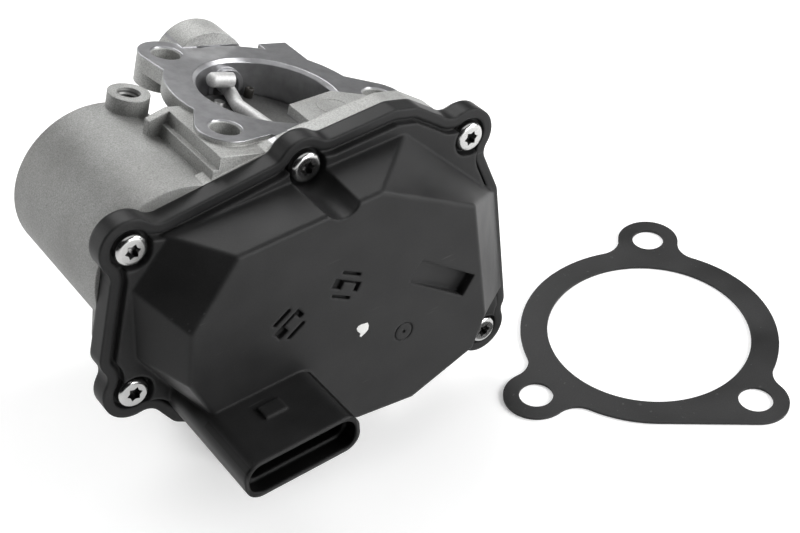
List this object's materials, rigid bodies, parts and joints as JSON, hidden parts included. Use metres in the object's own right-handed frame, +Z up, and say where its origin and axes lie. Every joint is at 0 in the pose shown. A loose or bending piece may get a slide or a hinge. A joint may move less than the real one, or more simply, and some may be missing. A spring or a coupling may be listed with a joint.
{
  "type": "egr valve",
  "caption": "Electric exhaust gas recirculation valve: cast elbow body with tilted flange, cranked flap, geared motor, moulded gear cover with plug socket, and a loose pipe gasket.",
  "frame": {"origin": "centre of the inlet flange's lower face, on which the valve stands", "axes": "+X along the gear cover's long edge, to the right as its face is seen; +Y from the cover towards the flap shaft's rear dome; +Z up along the inlet pipe"},
  "size_m": [0.2298, 0.1626, 0.1186],
  "materials": {
    "cast_aluminium": "satin",
    "black_plastic": "matte",
    "black_rubber": "matte",
    "bright_steel": "polished",
    "dull_steel": "satin",
    "dark_steel": "satin",
    "spring_steel": "satin",
    "bronze": "satin",
    "copper": "satin",
    "tinned_brass": "polished",
    "gear_plastic": "satin",
    "magnet_grey": "matte",
    "board_green": "satin",
    "gasket_black": "matte"
  },
  "bodies": {
    "valve": {"valve_body": "cast_aluminium", "actuator_cover": "black_plastic", "cover_seal": "black_rubber", "cover_screws": "bright_steel", "connector_pins": "tinned_brass", "shaft_seal": "black_rubber", "front_bush": "bronze", "rear_bush": "bronze", "rear_plug": "bright_steel", "return_spring": "spring_steel", "sensor_board": "board_green", "idler_axle": "bright_steel", "idler_clip": "spring_steel", "wheel_axle": "bright_steel", "motor_can": "bright_steel", "motor_magnets": "magnet_grey", "motor_brushes": "magnet_grey", "motor_end_cap": "black_plastic", "motor_screws": "dark_steel", "preload_washer": "spring_steel", "pipe_gasket": "gasket_black"},
    "flap": {"flap_shaft": "bright_steel", "flap_plate": "dull_steel", "flap_rivets": "dull_steel", "flap_cross_pin": "dull_steel", "output_gear": "gear_plastic", "sensor_magnet": "magnet_grey", "spring_collar": "dark_steel"},
    "idler": {"idler_gear": "gear_plastic"},
    "reduction": {"reduction_gear": "gear_plastic"},
    "rotor": {"motor_shaft": "bright_steel", "motor_armature": "dull_steel", "commutator": "copper", "motor_pinion": "bronze"}
  },
  "joints": [
    {"name": "flap_turn", "type": "hinge", "parent": "valve", "child": "flap", "pos_m": [0.01105, 0, 0.10034], "axis": [0, 1, 0], "range_deg": [0, 75], "stiffness_Nm_per_rad": 0.05, "springref_deg": -11.46},
    {"name": "idler_turn", "type": "hinge", "parent": "valve", "child": "idler", "pos_m": [0.00284, 0, 0.0612], "axis": [0, 1, 0], "range_deg": [-140, 0]},
    {"name": "reduction_turn", "type": "hinge", "parent": "valve", "child": "reduction", "pos_m": [-0.01859, 0, 0.06617], "axis": [0, 1, 0], "range_deg": [0, 244]},
    {"name": "rotor_turn", "type": "hinge", "parent": "valve", "child": "rotor", "pos_m": [-0.0364, 0, 0.0888], "axis": [0, 1, 0], "range_deg": [-1219, 0]}
  ],
  "couplings": [
    {"joint": "idler_turn", "follows": "flap_turn", "ratio": -1.8571},
    {"joint": "reduction_turn", "follows": "flap_turn", "ratio": 3.25},
    {"joint": "rotor_turn", "follows": "flap_turn", "ratio": -16.25}
  ]
}
